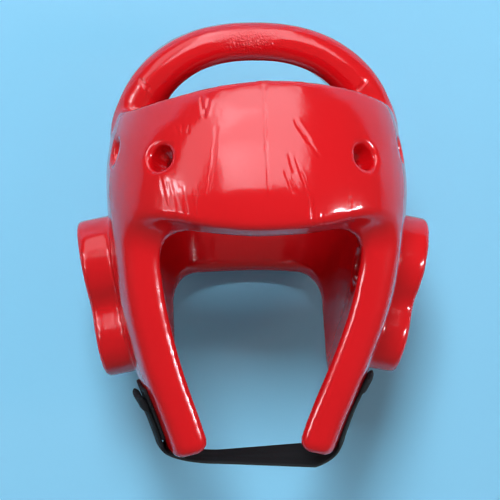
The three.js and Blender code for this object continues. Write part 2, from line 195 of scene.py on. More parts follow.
def cut_corner(a, b, radius):
    """Where two cuts meet in the foam, the inside corner is rounded."""
    rounded = radius - np.hypot(radius - a, radius - b)
    return np.where((a > radius) | (b > radius), np.minimum(a, b), rounded)


def edge_corner(a, b, radius):
    """Where two edges meet, the outside corner is rounded."""
    rounded = np.hypot(a + radius, b + radius) - radius
    return np.where((a < -radius) | (b < -radius), np.maximum(a, b), rounded)


def rounded_both(a, b, radius):
    """Distance to where two fields are both negative, with the edge between them rounded."""
    a, b = a + radius, b + radius
    return np.minimum(np.maximum(a, b), 0) + np.hypot(np.maximum(a, 0), np.maximum(b, 0)) - radius


corner_fill = -smooth_union(0.0, 0.0, EXAMPLE_BLEND)
print("a blend of", EXAMPLE_BLEND, "mm fills its corner by", float(corner_fill), "mm")

# %% [markdown]
# The blanks are cut to an outline before they are glued. Rim, brow, face, jaw and neck are one simple
# function each, negative where there is foam. Boolean cutters could do this too, but functions keep
# the edges square to the wall, and the corners between them get their radius in the same step.

# %% Outline of the wall
RIM = {"front": 85.0, "side": 58.0, "back": 60.0, "half_width": 95.0}
BROW = {"dip": 5.0, "half_width": 50.0, "slant": 0.4}  # its inner edge hangs lower than its outer one
FACE = {"depth": 202.0, "corner": 22.0, "slant": 1.0, "dome": 1.8}  # the cheek arms end in a low dome
JAW = {"level": -150.0, "tip_round": 11.0}
NECK = {"level": -64.0, "half_width": 59.0, "flare": 0.05, "corner": 20.0}


def outline(x, y, z, inward, behind):
    """Rough distance from the outline of the wall, for a layer further in and further back."""
    across = np.abs(x)
    rim_middle = np.where(z > MID_DEPTH, RIM["front"], RIM["back"])
    to_side = np.minimum(across / RIM["half_width"], 1) ** 2
    rim = y - rim_middle - (RIM["side"] - rim_middle) * to_side
    jaw = JAW["level"] - y
    brow = BROW["dip"] * np.minimum(across / BROW["half_width"], 1) ** 2 - y - BROW["slant"] * inward
    dome = FACE["dome"] * (2 * inward / WALL) ** 2
    face = cut_corner(z - FACE["slant"] * behind + dome - FACE["depth"], brow, FACE["corner"])
    neck_half = NECK["half_width"] + NECK["flare"] * (NECK["level"] - y)
    neck_side = np.minimum(neck_half - across, MID_DEPTH - z)
    neck = cut_corner(neck_side, NECK["level"] - y, NECK["corner"])
    arm = edge_corner(face, jaw, JAW["tip_round"])
    flap = edge_corner(neck, jaw, JAW["tip_round"])
    return np.maximum(np.maximum(rim, flap), arm)


print("wall from the jaw to the front of the rim:", RIM["front"] - JAW["level"], "mm")

# %% [markdown]
# The wall lies between the head form and the same form a wall's thickness further in. The squared
# ellipse gives no true distance, so it is divided by its slope. The outline is read at the middle of
# the wall, and the outer edges are crisper than the inner ones, as on the real foam.

# %% Distance to the foam wall
LEAST_RADIUS = 0.05  # closer to its middle, a squared ellipse has no useful slope
PROBE = 0.5  # half the step of a central difference
NEAR_WALL = 24.0  # the edges are worked out this close to the wall
EDGE_ROUND = {"outer": 4.5, "inner": 8.0}  # at the brow and the rim
ARM_ROUND = {"outer": 5.0, "inner": 10.0}  # the cheek arms are softer
ARM_LEVELS = (4.0, 26.0)  # where one passes into the other, below the brow
LEAST_STEEPNESS = 0.001  # of the head form, so that nothing is divided by zero
LEAST_SLOPE, MOST_SLOPE = 0.3, 1.2  # limits of a slope that a field is divided by


def form_radius(x, y, z):
    """1 on the head form, less inside it and more outside."""
    reach, squareness = half_section(z, y)
    across = np.abs(x) / section("half_width", y)
    ahead = np.abs(z - MID_DEPTH) / reach
    return np.maximum(across**squareness + ahead**squareness, LEAST_RADIUS**squareness) ** (1 / squareness)


def slopes_of(function, x, y, z):
    """Slopes of a function of a point, by central differences."""
    return [
        (function(x + dx, y + dy, z + dz) - function(x - dx, y - dy, z - dz)) / (2 * PROBE)
        for dx, dy, dz in np.eye(3) * PROBE
    ]


def wall_distance(x, y, z):
    """Distance to the foam wall with its edges, crisp outside and rounder inside."""
    slopes = slopes_of(form_radius, x, y, z)
    steepness = np.maximum(np.sqrt(sum(s * s for s in slopes)), LEAST_STEEPNESS)
    out = (form_radius(x, y, z) - 1) / steepness
    face = np.abs(out + WALL / 2) - WALL / 2
    near = face < NEAR_WALL
    normal = [s[near] / steepness[near] for s in slopes]
    inward = -(out[near] + WALL / 2)
    middle = [p[near] + n * inward for p, n in zip((x, y, z), normal)]
    behind = inward * normal[2]
    edge_slopes = slopes_of(lambda *point: outline(*point, inward, behind), *middle)
    along_normal = sum(s * n for s, n in zip(edge_slopes, normal))
    along_wall = np.sqrt(np.maximum(sum(s * s for s in edge_slopes) - along_normal**2, 0))
    along_wall = np.clip(along_wall, LEAST_SLOPE, MOST_SLOPE)
    edge = outline(*middle, inward, behind) / along_wall
    on_arm = smooth_step(-y[near], *ARM_LEVELS)
    outer, inner = (EDGE_ROUND[k] + (ARM_ROUND[k] - EDGE_ROUND[k]) * on_arm for k in ("outer", "inner"))
    edge_round = np.where(inward < 0, outer, inner)
    distance = face.copy()
    distance[near] = rounded_both(face[near], edge, edge_round)
    return distance


print("foam wall:", WALL, "mm thick, edges rounded by", *EDGE_ROUND.values(), "mm")

# %% [markdown]
# The crown bar is a squared half hoop, so its field is the same kind of squared ellipse, in a plane,
# given a thickness and a width that grow towards its feet. A curve with a bevel would need its ends
# trimmed to the wall by hand, and here they sink into it by themselves.

# %% Distance to the crown bar
BAR = {"depth": 112.0, "half_span": 98.0, "spring": 30.0, "rise": 95.5, "squareness": 2.3, "foot": 46.0}
BAR_THICKNESS = {"crown": 25.0, "foot": 30.0}
BAR_WIDTH = {"crown": 50.0, "foot": 64.0}
BAR_ROUND = 12.0
BAR_SINK = {"from": 62.0, "to": 46.0, "depth": 4.0}
LEAST_BAR_SLOPE = 0.002


def bar_distance(x, y, z):
    """Distance to the arch over the crown. Its feet sink into the wall."""
    n = BAR["squareness"]
    across = np.abs(x) / BAR["half_span"]
    above = np.maximum(y - BAR["spring"], 0) / BAR["rise"]
    radius = np.maximum(across**n + above**n, LEAST_RADIUS**n) ** (1 / n)
    slope_x = (across / radius) ** (n - 1) / BAR["half_span"]
    slope_y = (above / radius) ** (n - 1) / BAR["rise"]
    out = (radius - 1) / np.maximum(np.hypot(slope_x, slope_y), LEAST_BAR_SLOPE)
    to_foot = (across / radius) ** n
    thickness = BAR_THICKNESS["crown"] + (BAR_THICKNESS["foot"] - BAR_THICKNESS["crown"]) * to_foot
    width = BAR_WIDTH["crown"] + (BAR_WIDTH["foot"] - BAR_WIDTH["crown"]) * to_foot
    sink = np.clip((BAR_SINK["from"] - y) / (BAR_SINK["from"] - BAR_SINK["to"]), 0, 1)
    arch = rounded_both(
        np.abs(out + thickness / 2) - thickness / 2,
        np.abs(z - BAR["depth"]) - width / 2,
        BAR_ROUND,
    )
    return np.maximum(arch + BAR_SINK["depth"] * sink**2, BAR["foot"] - y)


print("crown bar:", BAR_WIDTH["crown"], "mm wide at the crown and", BAR_WIDTH["foot"], "mm at its feet")

# %% [markdown]
# An ear pad is a foam slab in the outline of an 8 that leans with the jaw flap. The two rings of the 8
# are joined first, so that its waist is a smooth hollow and its outer face stays flat. Two cylinders
# joined by a boolean would leave a sharp waist.

# %% Distance to the ear pads
PAD = {"base": 82.7, "level": -40.0, "height": 31.8, "lean_deg": 11.5, "round": 4.0, "waist": 14.0}
PAD_RINGS = ((5.5, 112.0, 32.0), (-43.5, 116.0, 28.0))  # place along the slab, depth, radius


def pad_distance(x, y, z):
    """Distance to an ear pad, the same on both sides."""
    lean_angle = math.radians(PAD["lean_deg"])
    dx, dy = np.abs(x) - PAD["base"], y - PAD["level"]
    up = dx * math.cos(lean_angle) - dy * math.sin(lean_angle)
    along = dx * math.sin(lean_angle) + dy * math.cos(lean_angle)
    rings = [np.hypot(along - place, z - depth) - radius for place, depth, radius in PAD_RINGS]
    eight = smooth_union(*rings, PAD["waist"])
    return rounded_both(eight, np.abs(up - PAD["height"] / 2) - PAD["height"] / 2, PAD["round"])


print("ear pad:", PAD["height"], "mm from its base, which is inside the wall, to its outer face")

# %% [markdown]
# Vents are punched before dipping, so the skin runs into them over a rounded mouth and builds up
# inside. Each is a cone along the wall's own normal that narrows inwards. To aim it, a point and the
# normal of the head form are worked out at the vent's depth and level.

# %% Vents
VENTS = ((213.0, 46.0, 8.6), (168.0, 45.0, 8.0), (146.0, 9.0, 6.0))  # depth, level, radius
VENT_REACH = 40.0  # how far a vent's cone goes in and out from the wall's face
VENT_TAPER = 0.14  # a vent narrows by this share of its depth
ANGLE_PROBE = 0.01  # half the step round the head, in radians


def form_angle(depth, level):
    """Angle round the head of the right-hand wall at a depth and a level."""
    reach, squareness = half_section(depth, level)
    share = (depth - MID_DEPTH) / reach
    return math.acos(math.copysign(abs(share) ** (squareness / 2), share))


def form_point(angle, level):
    """Point of the head form at an angle round the head, where 0 is the face."""
    cosine, sine = math.cos(angle), math.sin(angle)
    reach, squareness = half_section(MID_DEPTH + cosine, level)
    across = math.copysign(abs(sine) ** (2 / squareness), sine)
    ahead = math.copysign(abs(cosine) ** (2 / squareness), cosine)
    return Vector((section("half_width", level) * across, level, MID_DEPTH + reach * ahead))


def form_normal(angle, level):
    """Outward normal of the head form."""
    around = form_point(angle + ANGLE_PROBE, level) - form_point(angle - ANGLE_PROBE, level)
    up = form_point(angle, level + PROBE) - form_point(angle, level - PROBE)
    return around.cross(up).normalized()


vent_axes = []
for vent_depth, vent_level, vent_radius in VENTS:
    vent_angle = form_angle(vent_depth, vent_level)
    vent_axes.append((form_point(vent_angle, vent_level), form_normal(vent_angle, vent_level), vent_radius))
print("vents on each side:", len(vent_axes))

# %% [markdown]
# Wall, bar and pads are now joined, with the fillets that the paste leaves in their corners. Vents and
# ear holes are cut with a rounded mouth, and the back is cut flat where the guard rests on it. The
# skin is the same on both sides, so its right half stands for both.

# %% The whole skin
VENT_ROUND = 3.4
EAR_HOLE = {"depth": 112.0, "level": -44.0, "radius": 14.0, "from": 40.0}
BAR_FILLET = 4.5
PAD_FILLET = 2.5
REST_ROUND = 3.0


def skin_distance(points):
    """Distance to the dipped skin for rows of points, before the jaw leans."""
    x, y, z = np.abs(points[:, 0]), points[:, 1], points[:, 2]
    skin = smooth_union(wall_distance(x, y, z), bar_distance(x, y, z), BAR_FILLET)
    skin = smooth_union(skin, pad_distance(x, y, z), PAD_FILLET)
    for centre, axis, radius in vent_axes:
        dx, dy, dz = x - centre.x, y - centre.y, z - centre.z
        along = dx * axis.x + dy * axis.y + dz * axis.z
        from_axis = np.sqrt(np.maximum(dx**2 + dy**2 + dz**2 - along**2, 0))
        round_it = from_axis - radius - VENT_TAPER * np.minimum(along, 0)
        skin = smooth_cut(skin, np.maximum(round_it, np.abs(along) - VENT_REACH), VENT_ROUND)
    ear = np.hypot(y - EAR_HOLE["level"], z - EAR_HOLE["depth"]) - EAR_HOLE["radius"]
    skin = smooth_cut(skin, np.maximum(ear, EAR_HOLE["from"] - x), VENT_ROUND)
    return smooth_cut(skin, z, REST_ROUND)


print("fillets:", BAR_FILLET, "mm at the bar and", PAD_FILLET, "mm at the ear pads")

# %% [markdown]
# To get a mesh, the field is first read on a grid of points. Both sides of the head are alike until
# the guard settles, so only the right half is worked out, a slice at a time, and then mirrored.

# %% Field on a grid
CELL = 2.6
GRID_LOW = np.array((0.0, -158.0, -6.0))  # a box round the right half of the skin
GRID_HIGH = np.array((124.0, 132.0, 244.0))


def field_on_grid():
    """Field on a grid that covers both sides of the head, which are alike."""
    axes = [np.arange(low, high, CELL) for low, high in zip(GRID_LOW, GRID_HIGH)]
    half = np.empty([len(a) for a in axes], np.float32)
    plane = np.stack(np.meshgrid(axes[1], axes[2], indexing="ij"), -1).reshape(-1, 2)
    for i, across in enumerate(axes[0]):
        points = np.column_stack((np.full(len(plane), across), plane))
        half[i] = skin_distance(points).reshape(half.shape[1:])
    origin = np.array((-axes[0][-1], GRID_LOW[1], GRID_LOW[2]))
    return np.concatenate((half[:0:-1], half)), origin


skin_field, grid_origin = field_on_grid()
print("grid points:", skin_field.size, "with", CELL, "mm between them")

# %% [markdown]
# Every grid cell that the skin passes through gets one point, at the mean of the places where the
# skin crosses the cell's sides. Around each grid line that goes through the skin, the points of four
# cells make a face. This gives even four-sided faces, which divide well later on.

# %% Net over the cells
CORNERS = np.array([(a, b, c) for a in (0, 1) for b in (0, 1) for c in (0, 1)])
CELL_SIDES = [
    (p, q)
    for p in range(len(CORNERS)) for q in range(p + 1, len(CORNERS))
    if np.abs(CORNERS[p] - CORNERS[q]).sum() == 1
]


def net_of(field, origin):
    """Points and four-sided faces of the surface where a field on a grid is zero."""
    inside = field < 0
    spans = [slice(None, -1), slice(1, None)]
    count = sum(inside[spans[a], spans[b], spans[c]].astype(np.int8) for a, b, c in CORNERS)
    cells = np.argwhere((count > 0) & (count < len(CORNERS)))
    number = np.full(count.shape, -1)
    number[tuple(cells.T)] = np.arange(len(cells))
    values = np.stack([field[tuple((cells + corner).T)] for corner in CORNERS])
    total, crossings = np.zeros(cells.shape), np.zeros(len(cells))
    for p, q in CELL_SIDES:
        crossed = (values[p] < 0) != (values[q] < 0)
        share = values[p][crossed] / (values[p][crossed] - values[q][crossed])
        total[crossed] += CORNERS[p] + share[:, None] * (CORNERS[q] - CORNERS[p])
        crossings[crossed] += 1
    points = origin + CELL * (cells + total / crossings[:, None])

    faces = []
    for axis in range(3):
        u, v = np.eye(3, dtype=int)[(axis + 1) % 3], np.eye(3, dtype=int)[(axis + 2) % 3]
        ahead = np.diff(inside.astype(np.int8), axis=axis)
        lines = np.argwhere(ahead)
        around = [number[tuple((lines - shift).T)] for shift in (0 * u, u, u + v, v)]
        quads = np.stack(around, -1)
        outward = ahead[tuple(lines.T)] > 0
        quads[outward] = quads[outward][:, ::-1]
        faces.append(quads)
    return points, np.concatenate(faces)


skin_points, skin_faces = net_of(skin_field, grid_origin)
print("skin faces:", len(skin_faces))

# %% [markdown]
# A net alone is a little uneven, as a voxel remesh is, and a glossy surface shows that at once. So
# each point is moved along the field's slope until it lies on the skin, and the gloss stays calm.

# %% Points on the skin
SETTLE_ROUNDS = 3


def skin_slopes(points):
    """Slopes of the skin's field at rows of points."""
    return np.stack([
        (skin_distance(points + step) - skin_distance(points - step)) / (2 * PROBE)
        for step in np.eye(3) * PROBE
    ], -1)


def settle(points):
    """Points moved along the field's slope on to the skin."""
    for _ in range(SETTLE_ROUNDS):
        slopes = skin_slopes(points)
        steep = np.maximum((slopes**2).sum(1), LEAST_SLOPE)
        points = points - slopes * (skin_distance(points) / steep)[:, None]
    return points


def new_mesh(name, points, faces):
    """Mesh object of points in millimetres, smoothly shaded."""
    mesh = bpy.data.meshes.new(name)
    mesh.from_pydata((np.asarray(points) * MM).tolist(), [], np.asarray(faces, object).tolist())
    mesh.polygons.foreach_set("use_smooth", [True] * len(mesh.polygons))
    mesh.update()
    piece = bpy.data.objects.new(name, mesh)
    bpy.context.scene.collection.objects.link(piece)
    return piece


skin_points = settle(skin_points)
dipped_skin = new_mesh("dipped_skin", skin_points, skin_faces)
print("skin points:", len(skin_points))

# %% [markdown]
# Folding and packing leave creases in vinyl: fine lines on the forehead, a notch in its rim and short
# folds at the feet of the bar. Each is a straight stretch in a table, seen from the front, and counts
# only on the outer face of the forehead or the front of the bar. Painting them on would be as quick,
# but a table can be read and corrected.

# %% Where the creases run
CREASES = (  # from x and level, to x and level, half width, depth
    (1.3, 88.0, 0.8, 57.0, 1.0, 0.14),
    (0.8, 57.0, 2.4, 20.0, 0.9, 0.11),
    (-28.5, 65.0, -31.0, 45.0, 1.0, 0.08),
    (-31.0, 45.0, -35.0, 22.0, 0.9, 0.06),
    (-37.6, 83.0, -35.4, 71.0, 1.0, 0.32),
    (-32.6, 82.0, -35.2, 73.0, 0.9, 0.26),
    (19.0, 68.0, 27.0, 56.0, 1.0, 0.13),
    (26.0, 57.5, 33.5, 47.0, 0.9, 0.1),
    (14.5, 49.0, 18.0, 38.0, 1.1, 0.15),
    (18.5, 46.0, 24.5, 30.0, 0.9, 0.12),
    (12.0, 40.0, 17.0, 26.0, 1.1, 0.13),
    (16.0, 36.0, 19.5, 25.0, 0.8, 0.1),
    (22.0, 38.0, 25.5, 25.0, 0.9, 0.1),
    (27.6, 23.0, 29.0, 5.0, 0.9, 0.16),
    (34.0, 14.0, 35.0, 5.0, 0.8, 0.12),
    (51.0, 34.0, 52.0, 21.0, 0.8, 0.07),
    (51.6, 22.0, 52.5, 8.0, 0.9, 0.12),
    (69.5, 22.0, 70.5, 10.0, 0.9, 0.08),
    (84.0, 52.0, 86.5, 8.0, 1.1, 0.09),
    (-63.0, 36.0, -58.0, 12.0, 0.9, 0.1),
    (-58.5, 33.0, -55.0, 10.0, 0.8, 0.07),
    (-54.5, 31.0, -51.0, 9.0, 0.9, 0.09),
    (-49.0, 29.0, -46.5, 8.0, 0.8, 0.08),
    (-43.0, 30.0, -41.0, 10.0, 0.9, 0.07),
    (-53.5, 66.0, -51.5, 59.0, 0.8, 0.09),
    (-49.5, 67.0, -48.8, 60.0, 0.8, 0.08),
    (-45.0, 67.0, -46.0, 61.0, 0.8, 0.08),
)
BAR_CREASES = (  # the same columns, on the front of the bar
    (-76.5, 90.0, -70.0, 83.0, 1.2, 0.4),
    (-70.5, 84.0, -66.5, 71.0, 1.0, 0.25),
    (67.0, 81.0, 73.5, 88.0, 1.1, 0.4),
    (64.0, 76.0, 69.0, 84.0, 0.9, 0.2),
)
# Where a point counts as forehead or as front of the bar
FOREHEAD = {"depth": 150.0, "level": -16.0}
BAR_FRONT = {"depth": 118.0, "to_depth": 146.0, "level": 64.0}
CREASE_TAPER = 0.25  # share of a crease's length that it fades over at each end
PAST_END = CREASE_TAPER / 2  # the half of it that is past the end


def beside_crease(points, crease):
    """Share of the way along a crease, and distance from its line, of rows of points."""
    x0, y0, x1, y1, *_ = crease
    length = math.hypot(x1 - x0, y1 - y0)
    along_x, along_y = (x1 - x0) / length, (y1 - y0) / length
    dx, dy = points[:, 0] - x0, points[:, 1] - y0
    return (dx * along_x + dy * along_y) / length, np.abs(dx * along_y - dy * along_x)


def in_reach(points, crease, reach):
    """Whether points are closer to a crease than a reach."""
    share, across = beside_crease(points, crease)
    return (across < reach) & (share > -PAST_END) & (share < 1 + PAST_END)


def on_forehead(points, normals):
    """Points of the outer face of the forehead."""
    outward = (points * normals).sum(1) - MID_DEPTH * normals[:, 2] > 0
    return outward & (points[:, 2] > FOREHEAD["depth"]) & (points[:, 1] > FOREHEAD["level"])


def on_bar(points):
    """Points of the front of the bar."""
    depth = points[:, 2]
    in_depth = (depth > BAR_FRONT["depth"]) & (depth < BAR_FRONT["to_depth"])
    return in_depth & (points[:, 1] > BAR_FRONT["level"])


crease_length = sum(math.hypot(x1 - x0, y1 - y0) for x0, y0, x1, y1, *_ in CREASES + BAR_CREASES)
print("creases:", len(CREASES + BAR_CREASES), "and together", round(crease_length), "mm long")

# %% [markdown]
# The creases are a millimetre or two wide, narrower than a grid cell, so the faces along them are
# divided in rounds, each closer to the crease. Dividing the whole mesh would take far more faces. The
# new points are settled on the skin again, and the skin's normals are kept for the relief.

# %% Finer mesh along the creases
DIVIDE_WITHIN = (3.6, 2.6, 1.5)  # each round divides the faces that are closer to a crease than this
FACE_CORNERS = 4


def near_creases(points, normals, reach):
    """Points that are closer to some crease than a reach."""
    fore, bar = on_forehead(points, normals), on_bar(points)
    near = np.zeros(len(points), bool)
    for crease in CREASES:
        near |= fore & in_reach(points, crease, reach)
    for crease in BAR_CREASES:
        near |= bar & in_reach(points, crease, reach)
    return near


def read_vectors(items, name):
    """Vectors of a mesh's points or faces, as rows."""
    flat = np.empty(3 * len(items))
    items.foreach_get(name, flat)
    return flat.reshape(-1, 3)


def divide_faces(piece, reach):
    """Divides in four the faces that are closer to a crease than a reach."""
    faces = piece.data.polygons
    picked = near_creases(read_vectors(faces, "center") / MM, read_vectors(faces, "normal"), reach)
    edit = bmesh.new()
    edit.from_mesh(piece.data)
    edges = {edge for face in edit.faces if picked[face.index] for edge in face.edges}
    bmesh.ops.subdivide_edges(edit, edges=list(edges), cuts=1, use_grid_fill=True)
    bmesh.ops.triangulate(edit, faces=[face for face in edit.faces if len(face.verts) > FACE_CORNERS])
    edit.to_mesh(piece.data)
    edit.free()


for reach in DIVIDE_WITHIN:
    divide_faces(dipped_skin, reach)
skin_points = settle(read_vectors(dipped_skin.data.vertices, "co") / MM)
skin_normals = skin_slopes(skin_points)
skin_normals /= np.linalg.norm(skin_normals, axis=1)[:, None]
triangles = sum(len(face.vertices) - 2 for face in dipped_skin.data.polygons)
print("skin points with the finer places:", len(skin_points), "and triangles:", triangles)

# %% [markdown]
# Each crease is a groove with a low shoulder on both sides, and a little noise keeps its line from
# looking ruled. Foam under a skin is never quite even, so two sizes of gentle waves follow. All of it
# moves the points themselves, because a bump map alone would vanish from the mesh.

# %% Creases and waves
CREASE_REACH = 4.0  # a crease's shoulders have all but ended here
CREASE_WOBBLE = {"size": 6.0, "height": 0.8}
SHOULDER = {"share": 0.4, "offset": 2.0}  # of the groove's depth and of its half width
WAVE = {"size": 34.0, "height": 0.35}
RIPPLE = {"size": 11.0, "height": 0.1}
REST_EDGE = (1.0, 8.0)  # heights over the floor where the relief sets in and is full


def noise_at(points, size):
    """Noise between -1 and 1 at rows of points, with features of a size."""
    return np.array([noise.noise(Vector(point / size)) for point in points])


def crease_height(points, crease):
    """Relief of one crease, fading out at both ends."""
    *_, half_width, depth = crease
    share, across = beside_crease(points, crease)
    wobble = CREASE_WOBBLE["height"] * noise_at(points, CREASE_WOBBLE["size"])
    across = np.abs(across + wobble) / half_width
    ends = smooth_step(np.minimum(share, 1 - share), -PAST_END, PAST_END)
    groove = np.exp(-(across**2))
    shoulders = SHOULDER["share"] * np.exp(-((across - SHOULDER["offset"]) ** 2))
    return depth * ends * (shoulders - groove)


relief = np.zeros(len(skin_points))
places = ((CREASES, on_forehead(skin_points, skin_normals)), (BAR_CREASES, on_bar(skin_points)))
for creases, in_place in places:
    for crease in creases:
        moved = in_place & in_reach(skin_points, crease, CREASE_REACH)
        relief[moved] += crease_height(skin_points[moved], crease)
for wave in (WAVE, RIPPLE):
    relief += wave["height"] * noise_at(skin_points, wave["size"])
relief *= smooth_step(skin_points[:, 2], *REST_EDGE)  # the resting face stays flat
print("relief from", round(float(relief.min()), 2), "to", round(float(relief.max()), 2), "mm")

# %% [markdown]
# Now the soft guard settles as it lies: the jaw leans over to the left, and the front of the rim
# slopes a little. A lattice could bend it like this, but a function does the same to every piece,
# and the strap and its patch will go through it as well.

# %% The way it lies
LEAN = {"shift": -4.5, "level": -140.0, "from_depth": 60.0, "to_depth": 200.0}
SKEW = {"slope": 0.045, "half_width": 55.0, "from_level": 50.0, "to_level": 80.0,
        "from_depth": 130.0, "to_depth": 170.0}


def lean(points):
    """The soft jaw leans to the left as it lies, and the front of the rim slopes down to the left."""
    x, level, depth = points.T
    down = smooth_step(-level, 0, -LEAN["level"])
    ahead = smooth_step(depth, LEAN["from_depth"], LEAN["to_depth"])
    up = smooth_step(level, SKEW["from_level"], SKEW["to_level"])
    at_front = smooth_step(depth, SKEW["from_depth"], SKEW["to_depth"])
    aside = np.clip(x, -SKEW["half_width"], SKEW["half_width"])
    return np.column_stack((
        x + LEAN["shift"] * down * ahead,
        level + SKEW["slope"] * aside * up * at_front,
        depth,
    ))


skin_points = lean(skin_points + skin_normals * relief[:, None])
dipped_skin.data.vertices.foreach_set("co", (skin_points * MM).ravel())
dipped_skin.data.update()
print("jaw leans by", LEAN["shift"], "mm")

# %% [markdown]
# Dipped vinyl is PVC paste that is cured to a thick glossy film on the foam. It is a smooth dielectric
# with an IOR of about 1.53 and low roughness. Its pigment is even, so the eye reads the surface by its
# reflections, and only broad faint clouds shift the red and the gloss.

# %% Dipped red vinyl
FILM_NOISE = {  # size of a feature in mm, detail
    "cloud": (60.0, 3.0),
    "pits": (1.5, 2.0),
    "peel": (4.5, 1.0),
    "grain": (1.6, 2.0),
}
REDS = ("#c50a10", "#cd0c14")
FILM_ROUGHNESS = {"To Min": 0.1, "To Max": 0.16}
VINYL_IOR = 1.53
vinyl, tree, shader = new_material("dipped_red_vinyl")
place = add_node(tree, "ShaderNodeTexCoord").outputs["Object"]
film = {}
for name, (size_mm, detail) in FILM_NOISE.items():
    film[name] = add_node(tree, "ShaderNodeTexNoise", inputs={
        "Vector": place, "Scale": 1 / (size_mm * MM), "Detail": detail}).outputs["Fac"]
red = add_node(tree, "ShaderNodeValToRGB", inputs={"Fac": film["cloud"]})
for stop, colour in zip(red.color_ramp.elements, REDS):
    stop.color = linear(colour)
gloss = add_node(tree, "ShaderNodeMapRange", inputs={"Value": film["cloud"], **FILM_ROUGHNESS})
tree.links.new(red.outputs["Color"], shader.inputs["Base Color"])
tree.links.new(gloss.outputs["Result"], shader.inputs["Roughness"])
shader.inputs["IOR"].default_value = VINYL_IOR
print("skin material:", vinyl.name, "with IOR", VINYL_IOR)

# %% [markdown]
# The paste runs down while it cures, so the film has long faint streaks, and it sets to a fine orange
# peel. On the front of the bar it has blistered in one place. All this is very low or finer than the
# mesh, so it is bump in the material. Each bump starts from the normal that the one before it gives.

# %% Relief of the cured film
STREAK_MM = (6.0, 70.0, 6.0)  # narrow across the head and long down it
BLISTERED = {"place": (-5.0, 112.0, 138.0), "reach": (28.0, 16.0, 16.0)}
drawn_out = add_node(tree, "ShaderNodeMapping", inputs={
    "Vector": place, "Scale": [1 / (size_mm * MM) for size_mm in STREAK_MM]})
streaks = add_node(tree, "ShaderNodeTexNoise", inputs={"Vector": drawn_out.outputs["Vector"], "Scale": 1.0})
in_patch = add_node(tree, "ShaderNodeMapping", inputs={
    "Vector": place,
    "Location": [-p / r for p, r in zip(BLISTERED["place"], BLISTERED["reach"])],
    "Scale": [1 / (reach_mm * MM) for reach_mm in BLISTERED["reach"]]})
patch = add_node(tree, "ShaderNodeTexGradient", {"gradient_type": "SPHERICAL"}, {
    "Vector": in_patch.outputs["Vector"]})
blisters = add_node(tree, "ShaderNodeMath", {"operation": "MULTIPLY"})
tree.links.new(film["pits"], blisters.inputs[0])
tree.links.new(patch.outputs["Fac"], blisters.inputs[1])
FILM_BUMPS = (  # height, strength, depth in mm
    (streaks.outputs["Fac"], 0.12, 0.6),
    (blisters.outputs["Value"], 0.9, 1.2),
    (film["peel"], 0.12, 0.5),
    (film["grain"], 0.08, 0.2),
)
before = {}
for height, strength, depth_mm in FILM_BUMPS:
    bump = add_node(tree, "ShaderNodeBump", inputs={
        "Height": height, "Strength": strength, "Distance": depth_mm * MM, **before})
    before = {"Normal": bump.outputs["Normal"]}
tree.links.new(before["Normal"], shader.inputs["Normal"])
print("bumps in the film:", len(FILM_BUMPS))

# %% [markdown]
# Each piece rides on a body of the imported model, and the solids that it stands for are hidden. The
# skin stands for wall, bar and both pads at once, which foam fills.

# %% The skin in the imported model
dipped_skin.data.materials.append(vinyl)
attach(dipped_skin, "root")
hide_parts("shell", "crown_bar", "ear_pad_left", "ear_pad_right")

# %% [markdown]
# The chin strap is 25 mm woven elastic, two millimetres thick, with a folded hem at each end. A flat
# band keeps its width and only bends and twists, so it is described by stations: down the outside of
# a jaw flap, round under the chin and up the other side. A curve with a flat bevel could follow the
# same way, but it would turn as it likes, and the stations keep the band flat on the flap.

# %% Stations of the chin strap
STRAP = {"width": 25.0, "thickness": 2.0, "clear": 0.5, "depth": 172.0, "turn": -146.0, "slack": -158.0}
STRAP_HALVES = (  # side, end's level, on the hook patch, end's lift, turn at the jaw, twist in degrees
    (-1, -112.0, True, 2.0, 40.0, 1.0),
    (1, -103.0, False, 1.5, 20.0, 23.0),
)
STRAP_END = {"lift_share": 0.6, "hem": 9.0, "thickness": 4.4}
PATCH = {"side": -1, "width": 27.0, "thickness": 2.0, "top": -108.0, "bottom": -142.0}
SEAT_GAP = 0.3  # between pieces that lie on each other
ON_FLAP = 1.0  # share of the flap's roundness that the band takes
FOLD_ROUND = 2.2  # length over which a hem's fold rounds off
LEAST_FOLD = 0.1  # keeps the very end of a hem from closing to a line
STRAP_STEPS = 40


def flap_station(level, side, lift):
    """Place on the outside of a jaw flap: point, normal and forward direction."""
    angle = form_angle(STRAP["depth"], level)
    normal = form_normal(angle, level)
    point = form_point(angle, level) + normal * lift
    ahead, back = form_point(angle - ANGLE_PROBE, level), form_point(angle + ANGLE_PROBE, level)
    forward = (ahead - back).normalized()
    flip = Matrix.Diagonal((side, 1, 1))
    return flip @ point, flip @ normal, flip @ forward


